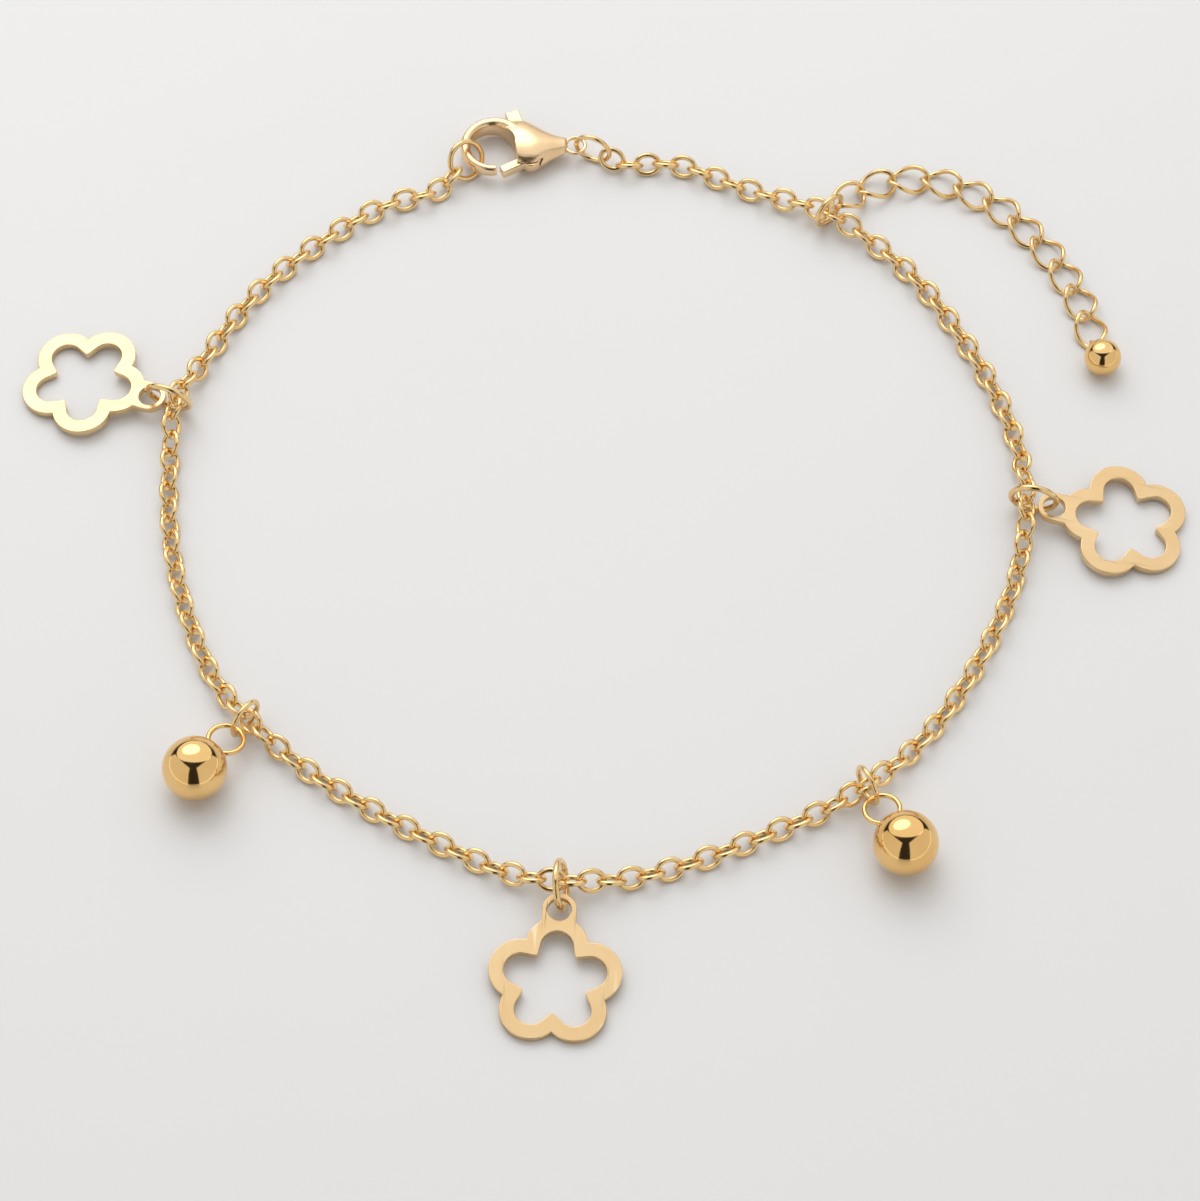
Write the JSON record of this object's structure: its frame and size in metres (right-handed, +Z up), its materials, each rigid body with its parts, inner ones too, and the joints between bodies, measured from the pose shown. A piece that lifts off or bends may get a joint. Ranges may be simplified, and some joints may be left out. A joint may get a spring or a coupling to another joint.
{
  "type": "charm anklet",
  "caption": "Round cable-chain anklet with a lobster clasp, an extender chain and pierced flower and ball charms on jump rings, lying flat in an open loop.",
  "frame": {"origin": "middle of the bounding box's bottom, on the surface that the anklet lies on", "axes": "+Z up from the surface, +Y from the front flower towards the clasp, +X towards the extender's side"},
  "size_m": [0.0932, 0.085, 0.005],
  "materials": {
    "gold_wire": "polished plated wire",
    "gold_plate": "smooth plated sheet",
    "gold_ball": "mirror polished",
    "gold_cast": "polished plated casting"
  },
  "bodies": {
    "anklet": {"cable_chain": "gold_wire", "clasp_body": "gold_cast", "clasp_ring": "gold_wire", "tail_ring": "gold_wire", "flower_left": "gold_plate", "flower_front": "gold_plate", "flower_right": "gold_plate", "flower_ring_left": "gold_wire", "flower_ring_front": "gold_wire", "flower_ring_right": "gold_wire", "ball_left": "gold_ball", "ball_right": "gold_ball", "ball_ring_left": "gold_wire", "ball_ring_right": "gold_wire", "extender_ring": "gold_wire", "extender_ball": "gold_ball", "extender_link_01": "gold_wire", "extender_link_02": "gold_wire", "extender_link_03": "gold_wire", "extender_link_04": "gold_wire", "extender_link_05": "gold_wire", "extender_link_06": "gold_wire", "extender_link_07": "gold_wire", "extender_link_08": "gold_wire", "extender_link_09": "gold_wire", "extender_link_10": "gold_wire", "extender_link_11": "gold_wire"},
    "lever": {"clasp_lever": "gold_cast"}
  },
  "joints": [
    {"name": "lever_hinge", "type": "hinge", "parent": "anklet", "child": "lever", "pos_m": [-0.00569, 0.03753, 0.0012], "axis": [0, 0, -1], "range_deg": [0, 28], "stiffness_Nm_per_rad": 0.002, "springref_deg": -5.73}
  ]
}
